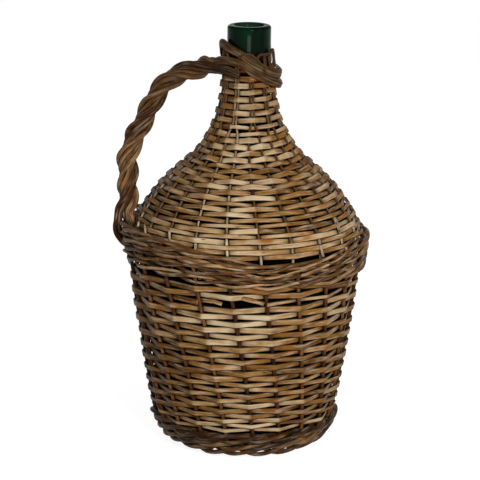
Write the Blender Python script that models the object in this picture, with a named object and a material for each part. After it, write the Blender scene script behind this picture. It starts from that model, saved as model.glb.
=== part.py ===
"""A glass demijohn in a willow basket, with a handle twisted from three strands.

The origin is on the bottle's axis where the foot stands. +Z is up and the handle is at -X.
Lines in the (radius, height) plane are turned round the Z axis. All sizes are in metres.
"""

from math import atan2, cos, pi, radians, sin

import bmesh
import bpy
from mathutils import Vector
from mathutils.geometry import interpolate_bezier

# Gaps
SEAT_GAP = 0.0003
WEAVE_GAP = 0.0005
BOTTLE_GAP = 0.0006

# Heights of the bottle, each measured from the one before
WIDEST_HEIGHT = 0.226
SHOULDER_RISE = 0.146
NECK_RISE = 0.030
FINISH_RISE = 0.038
NECK_HEIGHT = WIDEST_HEIGHT + SHOULDER_RISE
COLLAR_HEIGHT = NECK_HEIGHT + NECK_RISE
TOTAL_HEIGHT = COLLAR_HEIGHT + FINISH_RISE

# Bottle
GLASS_WALL = 0.0035
HEEL_RADIUS = 0.0660
WAIST_RADIUS = 0.0862
BODY_RADIUS = 0.0999
WIDEST_RADIUS = 0.1136
NECK_RADIUS = 0.0213
COLLAR_RADIUS = 0.0236
LIP_RADIUS = 0.0226
BORE_RADIUS = 0.0144
WAIST_RISE = 0.0257
BODY_RISE = 0.1112
FLANK_DROP = 0.026
FLANK_INSET = 0.0024
COLLAR_EDGE = 0.004
LIP_ROUND = 0.0025
PUNT_DEPTH = 0.008
GLASS_SIDES = 24

# Shapes of the curves, as shares of the way out and up
HEEL_SHAPE = [(0.445, 0.078), (0.718, 0.323), (1.0, 1.0)]
SHOULDER_SHAPE = [(0.098, 0.137), (0.338, 0.332), (0.694, 0.540), (0.905, 0.762), (1.0, 1.0)]

# Willow
STRIP_THICKNESS = 0.0022
STRIP_SPACING = 0.0004
LOWER_STAKE_RADIUS = 0.00165
COVER_STAKE_RADIUS = 0.0010
WALE_ROD_RADIUS = 0.0018
STICK_THICKNESS = 0.0035
STICK_WIDTH = 0.0050

# Counts
WALE_STEP = 3
LOWER_STAKES = 7 * WALE_STEP
COVER_PAIRS = 11
BASE_SPOKES = 12
BASE_ROUND_COUNT = 5
FOOT_ROUND_COUNT = 2
RIM_ROUND_COUNT = 2

# Rows and bands
LOWER_PITCH = 0.00625
COVER_PITCH = 0.0061
FOOT_WAVE = 0.0065
RIM_WAVE = 0.0058
RIM_DROP = 0.0215
RIM_MIDDLE = WIDEST_HEIGHT - RIM_DROP
RIM_FLARE = 0.018
COVER_TUCK = 0.0085
COVER_DROP = 0.0050
COVER_START = WIDEST_HEIGHT - COVER_DROP
THROAT_DROP = 0.040
THROAT_HEIGHT = NECK_HEIGHT - THROAT_DROP
COLLAR_GAP = 0.0075
COVER_TOP = COLLAR_HEIGHT - COLLAR_GAP
PAIR_SPACING = 0.0026
FOLD_RISE = 0.0105
PAIRING_LENGTH = 0.0120
SLATH_SHARE = 0.4545
SLATH_RADIUS = HEEL_RADIUS * SLATH_SHARE
SLATH_HALF = 0.0165
STAKE_TUCK = 0.0040

# Handle
STRAND_RADIUS = 0.0051
STRAND_SLACK = 0.00115
ROOT_RADIUS = 0.0047
HOOK_RADIUS = 0.0040
WRAP_RADIUS = 0.00275
HANDLE_TURNS = 2
HANDLE_START = 0.0445
HANDLE_STAND = 0.0005
HANDLE_STOP = 0.0180
HOOK_HEIGHT = 0.0040
STRAND_STOP = 0.0200
NECK_RING_RADIUS = 0.0015

# Largest offsets of a straight run from the curve that it stands for
FINE_BEND = 0.0003
ROUGH_BEND = 0.0008

# Directions round the axis, in degrees, and how the stakes lean, in degrees for each metre
LOWER_STAKE_ANGLE = 210.6
LOWER_STAKE_LEAN = 84
COVER_PAIR_ANGLE = 253.6
COVER_STAKE_LEAN = 30


def clear_scene():
    for item in list(bpy.data.objects):
        bpy.data.objects.remove(item)


def material(name, colour, roughness, metallic=0.0):
    made = bpy.data.materials.new(name)
    made.use_nodes = True
    shader = made.node_tree.nodes["Principled BSDF"]
    shader.inputs["Base Color"].default_value = (*colour, 1.0)
    shader.inputs["Roughness"].default_value = roughness
    shader.inputs["Metallic"].default_value = metallic
    made.diffuse_color = (*colour, 1.0)
    return made


def smooth_line(points, steps=4):
    """Points along one smooth curve through the given ones."""
    points = [Vector(point) for point in points]
    line = [points[0]]
    for index in range(len(points) - 1):
        start, end = points[index], points[index + 1]
        before = points[max(index - 1, 0)]
        after = points[min(index + 2, len(points) - 1)]
        reach = (end - start).length / 3
        leave = start + (end - before).normalized() * reach
        arrive = end - (after - start).normalized() * reach
        line += interpolate_bezier(start, leave, arrive, end, steps + 1)[1:]
    return line


def thinned(points, tolerance=FINE_BEND):
    """The points without those that lie almost on a straight run."""
    start, end = points[0], points[-1]
    run = (end - start).normalized()
    offsets = [abs((point - start).cross(run)) for point in points]
    farthest = max(range(len(points)), key=lambda index: offsets[index])
    if offsets[farthest] < tolerance:
        return [start, end]
    return thinned(points[:farthest + 1], tolerance)[:-1] + thinned(points[farthest:], tolerance)


class Line:
    """A chain of points that is walked by its length."""

    def __init__(self, points):
        self.points = [Vector(point) for point in points]
        self.lengths = [0.0]
        for start, end in zip(self.points, self.points[1:]):
            self.lengths.append(self.lengths[-1] + (end - start).length)

    @property
    def length(self):
        return self.lengths[-1]

    def at(self, length):
        """The place at a length along the line, and the direction there."""
        index, share = self.run_at(length)
        place = self.points[index].lerp(self.points[index + 1], share)
        return place, self.direction(index, share)

    def direction(self, index, share):
        """The direction on a run, turned towards the nearer neighbour's near its ends."""
        here = self.points[index + 1] - self.points[index]
        if share < 0.5 and index > 0:
            beside = self.points[index] - self.points[index - 1]
        elif share >= 0.5 and index < len(self.points) - 2:
            beside = self.points[index + 2] - self.points[index + 1]
        else:
            beside = here
        weight = abs(share - 0.5)
        return (here.normalized() * (1 - weight) + beside.normalized() * weight).normalized()

    def run_at(self, length):
        """The number of the run that holds a length, and the length's share of that run."""
        index = 0
        while index < len(self.points) - 2 and self.lengths[index + 1] < length:
            index += 1
        return index, (length - self.lengths[index]) / (self.lengths[index + 1] - self.lengths[index])

    def length_at_height(self, height):
        """The length where a line that rises reaches a height."""
        for index in range(len(self.points) - 1):
            low, high = self.points[index].y, self.points[index + 1].y
            if low <= height <= high and high > low:
                share = (height - low) / (high - low)
                return self.lengths[index] + share * (self.lengths[index + 1] - self.lengths[index])
        return self.length if height > self.points[-1].y else 0.0


def outward(direction):
    """The normal of a rising (radius, height) line that points away from the axis."""
    return Vector((direction.y, -direction.x))


def turned(place, angle):
    """A (radius, height) place turned round the Z axis."""
    return Vector((place.x * cos(angle), place.x * sin(angle), place.y))


def add_object(name, data, finish):
    item = bpy.data.objects.new(name, data)
    bpy.context.scene.collection.objects.link(item)
    data.materials.append(finish)
    return item


def poly_curve(name, points, closed=False, scales=None, tilts=None):
    """A chain of straight runs whose section keeps its top up."""
    curve = bpy.data.curves.new(name, "CURVE")
    curve.dimensions = "3D"
    spline = curve.splines.new("POLY")
    spline.points.add(len(points) - 1)
    for index, point in enumerate(points):
        spline.points[index].co = (*point, 1.0)
        spline.points[index].radius = scales[index] if scales else 1.0
        spline.points[index].tilt = tilts[index] if tilts else 0.0
    spline.use_cyclic_u = closed
    curve.use_fill_caps = True
    curve.twist_mode = "Z_UP"
    return curve


def rod(name, points, radius, finish, closed=False, scales=None, smoothness=0):
    """A round rod along points, with 2 * smoothness + 4 sides."""
    curve = poly_curve(name, points, closed, scales)
    if not closed:
        curve.twist_mode = "MINIMUM"
    curve.bevel_depth = radius
    curve.bevel_resolution = smoothness
    return add_object(name, curve, finish)


def split_section(name, width, thickness):
    """The section of a split rod: flat towards the axis, ridged outside."""
    corners = [(thickness / 2, 0, 0), (-thickness / 2, -width / 2, 0), (-thickness / 2, width / 2, 0)]
    guide = bpy.data.objects.new(name, poly_curve(name, corners, closed=True))
    bpy.context.scene.collection.objects.link(guide)
    guide.hide_render = True
    guide.display_type = "WIRE"
    return guide


def strip(name, points, tilts, section, finish):
    """A split strip along points, each tilted to lie on its wall."""
    curve = poly_curve(name, points, tilts=tilts)
    curve.bevel_mode = "OBJECT"
    curve.bevel_object = section
    return add_object(name, curve, finish)


def strip_reach(stake_radius):
    """How far a strip's middle passes from the middle of a stake."""
    return stake_radius + WEAVE_GAP + STRIP_THICKNESS / 2


def strip_depth(stake_radius):
    """How far a strip's far side lies from the middle of a stake."""
    return strip_reach(stake_radius) + STRIP_THICKNESS / 2


def wale_reach():
    """How far a wale's rod passes from the middle of a stake."""
    return LOWER_STAKE_RADIUS + WEAVE_GAP + WALE_ROD_RADIUS


def wale_depth():
    """How far a wale's rod reaches from the middle of a stake."""
    return wale_reach() + WALE_ROD_RADIUS


# The walls, from the bottle outwards

BASE_MIDDLE = SEAT_GAP + STRIP_THICKNESS / 2 + strip_reach(STICK_THICKNESS / 2)
GLASS_SEAT = BASE_MIDDLE + strip_depth(STICK_THICKNESS / 2) + SEAT_GAP


def glass_outline():
    """The bottle's outer face from the heel to the lip."""
    slope = [(HEEL_RADIUS, GLASS_SEAT)]
    for out, up in HEEL_SHAPE:
        slope.append((HEEL_RADIUS + (WAIST_RADIUS - HEEL_RADIUS) * out, GLASS_SEAT + WAIST_RISE * up))
    slope.append((BODY_RADIUS, GLASS_SEAT + BODY_RISE))
    slope.append((WIDEST_RADIUS - FLANK_INSET, WIDEST_HEIGHT - FLANK_DROP))
    slope.append((WIDEST_RADIUS, WIDEST_HEIGHT))
    for out, up in SHOULDER_SHAPE:
        slope.append((WIDEST_RADIUS + (NECK_RADIUS - WIDEST_RADIUS) * out,
                      WIDEST_HEIGHT + SHOULDER_RISE * up))
    return thinned(smooth_line(slope, 3))


def collar_outline():
    """The neck above the slope, its collar and the rounded lip."""
    lip = TOTAL_HEIGHT - LIP_ROUND
    return [
        Vector((NECK_RADIUS, COLLAR_HEIGHT - COLLAR_EDGE)),
        Vector((COLLAR_RADIUS, COLLAR_HEIGHT)),
        Vector((COLLAR_RADIUS, COLLAR_HEIGHT + 2 * COLLAR_EDGE)),
        Vector((LIP_RADIUS, lip)),
        Vector((LIP_RADIUS - LIP_ROUND * (1 - cos(pi / 4)), lip + LIP_ROUND * sin(pi / 4))),
        Vector((LIP_RADIUS - LIP_ROUND, TOTAL_HEIGHT)),
    ]


def inner_outline():
    """The bottle's inner face from the mouth down to the axis."""
    outer = [place for place in glass_outline() if place.x > NECK_RADIUS]
    line = Line(outer)
    inner = []
    for index in range(1, len(outer)):
        place, direction = line.at(line.lengths[index])
        inner.append(place - outward(direction) * GLASS_WALL)
    inner = thinned([place for place in inner if place.y > GLASS_SEAT + GLASS_WALL], ROUGH_BEND)
    mouth = [
        Vector((BORE_RADIUS + LIP_ROUND, TOTAL_HEIGHT)),
        Vector((BORE_RADIUS, TOTAL_HEIGHT - LIP_ROUND)),
        Vector((BORE_RADIUS, COLLAR_HEIGHT)),
        Vector((NECK_RADIUS - GLASS_WALL, COLLAR_HEIGHT - 2 * COLLAR_EDGE)),
        Vector((NECK_RADIUS - GLASS_WALL, NECK_HEIGHT)),
    ]
    floor = Vector((HEEL_RADIUS * 0.9, GLASS_SEAT + GLASS_WALL))
    middle = Vector((0.0, GLASS_SEAT + PUNT_DEPTH + GLASS_WALL))
    return mouth + inner[::-1] + [floor, middle]


def make_bottle(finish):
    """The bottle turned as one closed wall, open at the mouth."""
    punt = [Vector((0.0, GLASS_SEAT + PUNT_DEPTH)), Vector((HEEL_RADIUS * 0.75, GLASS_SEAT))]
    outline = punt + glass_outline() + collar_outline() + inner_outline()
    mesh = bpy.data.meshes.new("glass_bottle")
    shape = bmesh.new()
    corners = [shape.verts.new((place.x, 0.0, place.y)) for place in outline]
    edges = [shape.edges.new(pair) for pair in zip(corners, corners[1:])]
    bmesh.ops.spin(shape, geom=corners + edges, cent=(0, 0, 0), axis=(0, 0, 1), angle=2 * pi,
                   steps=GLASS_SIDES, use_merge=True)
    bmesh.ops.remove_doubles(shape, verts=shape.verts, dist=1e-6)
    bmesh.ops.recalc_face_normals(shape, faces=shape.faces)
    shape.to_mesh(mesh)
    shape.free()
    mesh.shade_smooth()
    return add_object("glass_bottle", mesh, finish)


def lower_line():
    """The middle of a lower stake: beside the glass, then out round the cover's stakes."""
    beside = BOTTLE_GAP + wale_depth()
    rim_room = 2 * COVER_STAKE_RADIUS + SEAT_GAP
    glass = Line(glass_outline())
    middle = glass.length_at_height(RIM_MIDDLE)
    end = middle + wale_pitch(RIM_WAVE) * RIM_ROUND_COUNT / 2
    rim_full = 2 * middle - end
    samples = 60
    line = []
    for step in range(samples + 1):
        length = STAKE_TUCK + (end - STAKE_TUCK) * step / samples
        place, direction = glass.at(length)
        share = min(max(1 - (rim_full - length) / RIM_FLARE, 0.0), 1.0)
        line.append(place + outward(direction) * (beside + rim_room * share))
    return Line(thinned(line))


def cover_line():
    """The middle of a cover stake, from inside the rim up to the neck."""
    beside = BOTTLE_GAP + strip_depth(COVER_STAKE_RADIUS)
    tucked = BOTTLE_GAP + COVER_STAKE_RADIUS
    glass = Line(glass_outline() + collar_outline()[:1])
    line = []
    for height in (RIM_MIDDLE - COVER_TUCK / 2, RIM_MIDDLE + COVER_TUCK):
        place, direction = glass.at(glass.length_at_height(height))
        line.append(place + outward(direction) * tucked)
    start = glass.length_at_height(COVER_START)
    throat = glass.length_at_height(THROAT_HEIGHT)
    samples = 40
    for low, high in ((start, throat), (throat, glass.length)):
        wall = []
        for step in range(samples + 1):
            place, direction = glass.at(low + (high - low) * step / samples)
            wall.append(place + outward(direction) * beside)
        line += thinned(wall)[:-1]
    return Line(line + [wall[-1]])


# Weaving

def beside_stake(line, angle, index, length, side, beyond=0.0):
    """A place off a stake's middle along the wall's normal, and beyond it round the axis."""
    run, share = line.run_at(length)
    low, high = (turned(line.points[end], angle(line, index, line.lengths[end]))
                 for end in (run, run + 1))
    middle = low.lerp(high, share)
    normal = outward(line.at(length)[1])
    flat = middle.xy.normalized()
    along = Vector((-flat.y, flat.x, 0)) * beyond
    return middle + along + Vector((flat.x * normal.x, flat.y * normal.x, normal.y)) * side


def wale_pass(middle, wave, index):
    """Where a wale's rod passes a stake: the length, and how far outside the stake's middle."""
    turn = 2 * pi * index / WALE_STEP
    return middle - wave * sin(turn), wale_reach() * (1 - 4 * cos(turn)) / 3


def wale_place(line, middle, wave, index):
    """The (radius, height) place of a wale's rod at a stake."""
    length, side = wale_pass(middle, wave, index)
    place, direction = line.at(length)
    return place + outward(direction) * side


def foot_middle(line):
    """The length along the stakes where the first round stands on the floor."""
    low, high = 0.0, line.length / 3
    while high - low > 1e-6:
        middle = (low + high) / 2
        lowest = min(wale_place(line, middle, FOOT_WAVE, index).y for index in range(WALE_STEP))
        if lowest < WALE_ROD_RADIUS:
            low = middle
        else:
            high = middle
    return high


def wale_pitch(wave):
    """From one round's middle to the next."""
    return 2 * wave * sin(pi / 3) + 2 * WALE_ROD_RADIUS + SEAT_GAP


def wale_edge(wave):
    """From a round's middle to its edge."""
    return wave * sin(pi / 3) + WALE_ROD_RADIUS + SEAT_GAP


def make_wale(name, line, first, wave, rounds, finish):
    """Rounds of three rods: each passes outside two stakes and inside the next."""
    for row in range(rounds):
        middle = first + wale_pitch(wave) * row
        for number in range(WALE_STEP):
            points = [beside_stake(line, lower_stake_angle, index, *wale_pass(middle, wave, index + number))
                      for index in range(LOWER_STAKES)]
            rod(f"{name}_{row * WALE_STEP + number + 1}", points, WALE_ROD_RADIUS, finish, closed=True)


def lower_stake_angle(line, index, length):
    """Even spacing, with every stake leaning the same way as it rises."""
    return radians(LOWER_STAKE_ANGLE - LOWER_STAKE_LEAN * length) + 2 * pi * index / LOWER_STAKES


def wall_tilt(direction):
    return atan2(direction.x, direction.y)


def make_lower_stakes(line, finish):
    for number in range(LOWER_STAKES):
        points = [turned(place, lower_stake_angle(line, number, length))
                  for place, length in zip(line.points, line.lengths)]
        rod(f"lower_stake_{number + 1:02d}", points, LOWER_STAKE_RADIUS, finish)


def make_lower_weaver(line, start, end, finish):
    """One strip wound up the wall, outside one stake and inside the next."""
    rounds = int((end - start) / LOWER_PITCH)
    pitch = (end - start) / rounds
    section = split_section("lower_strip_section", pitch - STRIP_SPACING, STRIP_THICKNESS)
    reach = strip_reach(LOWER_STAKE_RADIUS)
    points, tilts = [], []
    for index in range((rounds - 1) * LOWER_STAKES + 1):
        length = start + pitch / 2 + pitch * index / LOWER_STAKES
        side = reach if index % 2 else -reach
        points.append(beside_stake(line, lower_stake_angle, index, length, side))
        tilts.append(wall_tilt(line.at(length)[1]))
    strip("lower_weaver", points, tilts, section, finish)


def cover_stake_angle(line, index, length):
    """Even spacing on the shoulder, and two by two on the neck, leaning as they rise."""
    throat = line.length_at_height(THROAT_HEIGHT)
    neck = throat + PAIRING_LENGTH
    even = pi / (2 * COVER_PAIRS)
    close = PAIR_SPACING / 2 / line.at(length)[0].x
    share = min(max((length - throat) / (neck - throat), 0.0), 1.0)
    half = even + (close - even) * share
    lean = radians(COVER_STAKE_LEAN) * (length - line.length_at_height(COVER_START))
    middle = radians(COVER_PAIR_ANGLE) + 2 * pi * (index // 2) / COVER_PAIRS - lean
    return middle + (half if index % 2 else -half)


def cover_stake_points(line, index):
    return [turned(place, cover_stake_angle(line, index, length))
            for place, length in zip(line.points, line.lengths)]


def make_cover_stakes(line, finish):
    """Each pair is one long skein, folded at the neck."""
    for pair in range(COVER_PAIRS):
        up, down = cover_stake_points(line, 2 * pair), cover_stake_points(line, 2 * pair + 1)
        middle = (up[-1] + down[-1]) / 2
        fold = [end.lerp(middle, share) + Vector((0, 0, rise))
                for end, share, rise in ((up[-1], 0.0, FOLD_RISE - PAIR_SPACING / 2),
                                         (up[-1], 0.5, FOLD_RISE), (down[-1], 0.5, FOLD_RISE),
                                         (down[-1], 0.0, FOLD_RISE - PAIR_SPACING / 2))]
        rod(f"cover_stake_pair_{pair + 1:02d}", up + fold + down[::-1], COVER_STAKE_RADIUS, finish)


def make_shoulder_weavers(line, start, end, finish):
    """Two strips that chase each other, because the stakes are even in number."""
    stakes = 2 * COVER_PAIRS
    rounds = int((end - start) / (2 * COVER_PITCH))
    pitch = (end - start) / (2 * rounds)
    section = split_section("cover_strip_section", pitch - STRIP_SPACING, STRIP_THICKNESS)
    reach = strip_reach(COVER_STAKE_RADIUS)
    for number, letter in enumerate("ab"):
        points, tilts = [], []
        for index in range((rounds - 1) * stakes + stakes // 2 + 1):
            length = start + pitch / 2 + pitch * number + 2 * pitch * index / stakes
            side = reach if (index + number) % 2 else -reach
            points.append(beside_stake(line, cover_stake_angle, index, length, side))
            tilts.append(wall_tilt(line.at(length)[1]))
        strip(f"shoulder_weaver_{letter}", points, tilts, section, finish)


def make_neck_weaver(line, start, end, finish):
    """One strip that passes outside one pair of stakes and inside the next."""
    rounds = int((end - start) / COVER_PITCH)
    pitch = (end - start) / rounds
    section = split_section("neck_strip_section", pitch - STRIP_SPACING, STRIP_THICKNESS)
    reach = strip_reach(COVER_STAKE_RADIUS)
    stakes = 2 * COVER_PAIRS
    points, tilts = [], []
    for index in range((rounds - 1) * stakes + 2):
        length = start + pitch / 2 + pitch * index / stakes
        side = reach if (index // 2) % 2 else -reach
        beyond = COVER_STAKE_RADIUS if index % 2 else -COVER_STAKE_RADIUS
        points.append(beside_stake(line, cover_stake_angle, index, length, side, beyond))
        tilts.append(wall_tilt(line.at(length)[1]))
    strip("neck_weaver", points, tilts, section, finish)


# Base

def make_base_sticks(finish):
    """Two layers of three slit sticks crossing in the middle, their ends fanned into spokes."""
    edge = base_edge()
    for layer in range(2):
        crossing = STICK_THICKNESS / 2 + (STICK_THICKNESS + SEAT_GAP) * layer
        for number in (-1, 0, 1):
            beside = number * (STICK_WIDTH + SEAT_GAP)
            fan = number * 2 * pi / BASE_SPOKES
            half = [Vector((SLATH_HALF, beside, crossing))]
            half += [turned(Vector((radius, BASE_MIDDLE)), fan) for radius in (SLATH_RADIUS, edge)]
            points = [Vector((-x, y, z)) for x, y, z in reversed(half)] + half
            if layer:
                points = [Vector((-y, x, z)) for x, y, z in points]
            curve = poly_curve(f"base_stick_{3 * layer + number + 2}", points)
            curve.bevel_mode = "OBJECT"
            curve.bevel_object = stick_section()
            add_object(curve.name, curve, finish)


def stick_section():
    name = "stick_section"
    if name in bpy.data.objects:
        return bpy.data.objects[name]
    half, rise = STICK_WIDTH / 2, STICK_THICKNESS / 2
    corners = [(half, rise, 0), (half, -rise, 0), (-half, -rise, 0), (-half, rise, 0)]
    guide = bpy.data.objects.new(name, poly_curve(name, corners, closed=True))
    bpy.context.scene.collection.objects.link(guide)
    guide.hide_render = True
    guide.display_type = "WIRE"
    return guide


def base_edge():
    """The radius where the base ends, inside the foot's first round and the stakes."""
    line = lower_line()
    middle = foot_middle(line)
    chord = cos(pi / LOWER_STAKES)
    rods = [wale_place(line, middle, FOOT_WAVE, index).x * chord for index in range(WALE_STEP)]
    return min(min(rods) - WALE_ROD_RADIUS, line.points[0].x - LOWER_STAKE_RADIUS) - SEAT_GAP


def make_base_weaver(finish):
    """A strip over one spoke and under the next, over two once a round to change sides."""
    reach = strip_reach(STICK_THICKNESS / 2)
    pitch = (base_edge() - SEAT_GAP - SLATH_RADIUS) / (BASE_ROUND_COUNT + 1)
    start = SLATH_RADIUS + pitch / 2
    section = split_section("base_strip_section", pitch - STRIP_SPACING, STRIP_THICKNESS)
    points, tilts = [], []
    for index in range(BASE_ROUND_COUNT * BASE_SPOKES + 1):
        side = reach if (index + index // BASE_SPOKES) % 2 else -reach
        radius = start + pitch * index / BASE_SPOKES
        shift = atan2(STICK_WIDTH / 2, radius)
        for angle in (-shift, shift):
            place = Vector((radius, BASE_MIDDLE - side))
            points.append(turned(place, 2 * pi * index / BASE_SPOKES + angle))
            tilts.append(pi / 2)
    strip("base_weaver", points, tilts, section, finish)


# Handle

def rim_edge():
    """The radius of the rim's rods on their outer side."""
    line = lower_line()
    return line.at(line.length_at_height(RIM_MIDDLE))[0].x + wale_depth()


def cover_edge():
    """The radius of the cover's strips on the neck, on their outer side."""
    return NECK_RADIUS + BOTTLE_GAP + 2 * strip_depth(COVER_STAKE_RADIUS)


def handle_line():
    """The middle of the twisted part, from above the rim up to the neck."""
    low = Vector((rim_edge() + HANDLE_STAND, RIM_MIDDLE + HANDLE_START))
    high = Vector((cover_edge() + HANDLE_STOP, COVER_TOP + SEAT_GAP))
    shares = [(1.0, 0.0), (0.958, 0.175), (0.940, 0.343), (0.866, 0.499), (0.752, 0.640),
              (0.608, 0.778), (0.432, 0.892), (0.200, 0.968), (0.0, 1.0)]
    route = [(high.x + (low.x - high.x) * reach, low.y + (high.y - low.y) * rise)
             for reach, rise in shares]
    return Line(smooth_line(route, 6))


def strand_spread():
    """How far each strand's middle lies from the middle of the twist."""
    return (2 * STRAND_RADIUS + STRAND_SLACK) / 3 ** 0.5


def twisted(line, number):
    """A strand's points through the twist, which turns right-handed as it rises."""
    steps = 30
    points = []
    for step in range(steps + 1):
        place, direction = line.at(line.length * step / steps)
        turn = 2 * pi * (HANDLE_TURNS * step / steps + number / 3)
        side = outward(direction) * cos(turn) * strand_spread()
        front = -sin(turn) * strand_spread()
        middle = place + side
        points.append(Vector((-middle.x, front, middle.y)))
    return points


def on_neck(angle, radius, height):
    return turned(Vector((radius, height)), radians(angle))


def make_handle(finish):
    """Three strands: one hooks outside the rim and wraps the neck, two stop on top of the rim."""
    rim = rim_edge()
    hooked = rim + SEAT_GAP + STRAND_RADIUS
    wrap = cover_edge() + NECK_RING_RADIUS + SEAT_GAP + WRAP_RADIUS
    collar = COLLAR_RADIUS + WRAP_RADIUS + SEAT_GAP
    spike = 2 * WRAP_RADIUS
    beside = STRAND_RADIUS + WEAVE_GAP + SEAT_GAP
    roots = [
        [(hooked, 0.0, HOOK_HEIGHT), (hooked + 0.0050, 0.0, HOOK_HEIGHT + 0.0100),
         (hooked + 0.0055, 0.0, HANDLE_START - 0.0150)],
        [(rim + 0.0010, -beside, STRAND_STOP), (rim + 0.0010, -beside, HANDLE_START - 0.0130)],
        [(rim + 0.0010, beside, STRAND_STOP), (rim + 0.0010, beside, HANDLE_START - 0.0130)],
    ]
    wraps = [
        [(193, wrap + spike, 0.0100), (210, wrap, 0.0100), (235, wrap, 0.0075), (260, wrap, 0.0030),
         (285, wrap, -0.0015), (310, wrap, -0.0060), (335, wrap, -0.0095), (360, wrap, -0.0110),
         (385, wrap, -0.0095), (410, wrap, -0.0055), (435, wrap, 0.0015), (460, wrap, 0.0095),
         (485, wrap - 0.0010, 0.0170), (510, collar + 0.0045, 0.0235), (540, collar + 0.0030, 0.0290),
         (565, collar + 0.0032, 0.0265), (590, collar + 0.0040, 0.0220), (615, wrap - 0.0020, 0.0170),
         (640, wrap, 0.0120), (665, wrap, 0.0075), (690, wrap, 0.0035), (715, wrap, 0.0010),
         (740, wrap, 0.0015)],
        [(199, wrap + 0.0040, -0.0030), (212, wrap, -0.0050), (226, wrap, -0.0060)],
        [(161, wrap + 0.0040, -0.0030), (148, wrap, -0.0050), (130, wrap, -0.0060),
         (110, wrap, -0.0075), (90, wrap, -0.0083), (74, wrap, -0.0087)],
    ]
    thinning = [STRAND_RADIUS + (WRAP_RADIUS - STRAND_RADIUS) * step / 4 for step in (1, 2, 3)]
    line = handle_line()
    for number in range(3):
        root = [Vector((-x, y, RIM_MIDDLE + rise)) for x, y, rise in roots[number]]
        twist = twisted(line, number)
        ends = [on_neck(angle, radius, COVER_TOP + rise) for angle, radius, rise in wraps[number]]
        radii = [HOOK_RADIUS] + [ROOT_RADIUS] * (len(root) - 1) + [STRAND_RADIUS] * (len(twist) - 2)
        radii += thinning + [WRAP_RADIUS] * (len(ends) - 1)
        rod(f"handle_strand_{number + 1}", root + twist + ends, STRAND_RADIUS, finish,
            scales=[radius / STRAND_RADIUS for radius in radii], smoothness=1)


def make_neck_ring(line, finish):
    """The rod that ties the folded stakes at the top of the cover."""
    radius = line.points[-1].x + COVER_STAKE_RADIUS + SEAT_GAP + NECK_RING_RADIUS
    height = COVER_TOP + SEAT_GAP + NECK_RING_RADIUS
    count = 24
    points = [turned(Vector((radius, height)), 2 * pi * step / count) for step in range(count)]
    rod("neck_ring", points, NECK_RING_RADIUS, finish, closed=True)


def build():
    clear_scene()
    glass = material("bottle_glass", (0.012, 0.060, 0.030), 0.08)
    stake = material("stake_rod", (0.130, 0.055, 0.025), 0.50)
    split = material("split_willow", (0.330, 0.190, 0.080), 0.45)
    skein = material("cover_skein", (0.360, 0.240, 0.130), 0.50)
    foot = material("foot_rod", (0.100, 0.050, 0.025), 0.55)
    rim = material("rim_rod", (0.200, 0.100, 0.045), 0.50)
    handle = material("handle_rod", (0.210, 0.120, 0.055), 0.50)

    make_bottle(glass)
    wall = lower_line()
    make_lower_stakes(wall, stake)
    first = foot_middle(wall)
    make_wale("foot_rod", wall, first, FOOT_WAVE, FOOT_ROUND_COUNT, foot)
    rim_first = wall.length_at_height(RIM_MIDDLE) - wale_pitch(RIM_WAVE) * (RIM_ROUND_COUNT - 1) / 2
    make_wale("rim_rod", wall, rim_first, RIM_WAVE, RIM_ROUND_COUNT, rim)
    weave_start = first + wale_pitch(FOOT_WAVE) * (FOOT_ROUND_COUNT - 1) + wale_edge(FOOT_WAVE)
    make_lower_weaver(wall, weave_start, rim_first - wale_edge(RIM_WAVE), split)

    cover = cover_line()
    make_cover_stakes(cover, skein)
    throat = cover.length_at_height(THROAT_HEIGHT)
    make_shoulder_weavers(cover, cover.length_at_height(COVER_START), throat - COVER_PITCH, split)
    make_neck_weaver(cover, throat + COVER_PITCH / 2, cover.length_at_height(COVER_TOP), split)
    make_neck_ring(cover, stake)

    make_base_sticks(stake)
    make_base_weaver(split)
    make_handle(handle)


build()
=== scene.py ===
"""The looks of a wicker demijohn: a dark green bottle in varnished willow.

Lines in the (radius, height) plane are turned round the Z axis, as the bottle and its basket are.
Lengths are in metres.
"""

from math import atan2, cos, hypot, pi, radians, sin
from random import Random

import bmesh
import bpy
import numpy as np
from mathutils import Matrix, Vector
from mathutils.geometry import interpolate_bezier


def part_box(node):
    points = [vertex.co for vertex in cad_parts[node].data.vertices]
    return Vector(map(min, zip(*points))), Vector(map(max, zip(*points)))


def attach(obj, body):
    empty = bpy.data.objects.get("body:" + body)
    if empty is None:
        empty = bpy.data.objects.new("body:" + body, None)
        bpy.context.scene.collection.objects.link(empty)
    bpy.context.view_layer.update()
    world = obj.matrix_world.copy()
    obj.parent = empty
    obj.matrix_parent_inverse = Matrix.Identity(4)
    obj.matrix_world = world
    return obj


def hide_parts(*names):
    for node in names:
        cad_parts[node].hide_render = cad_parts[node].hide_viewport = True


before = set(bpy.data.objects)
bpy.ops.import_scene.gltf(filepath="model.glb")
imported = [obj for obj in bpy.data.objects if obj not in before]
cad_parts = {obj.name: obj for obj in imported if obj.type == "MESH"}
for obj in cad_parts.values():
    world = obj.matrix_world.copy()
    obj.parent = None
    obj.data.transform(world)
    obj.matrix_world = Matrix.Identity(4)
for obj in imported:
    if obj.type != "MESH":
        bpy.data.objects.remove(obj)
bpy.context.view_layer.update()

MM = 0.001

# Camera, fitted to the photograph
CAMERA_PLACE = (-0.0068, -2.3295, 0.7894)
CAMERA_PITCH = radians(13.91)
CAMERA_ROLL = 0.0126
CAMERA_LENS = 171.5
SENSOR_WIDTH = 36.0

# The floor's own glow, which keeps it white to the eye, and how much the surroundings light the object
FLOOR_GLOW = 0.90
WORLD_LIGHT = 0.11

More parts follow.
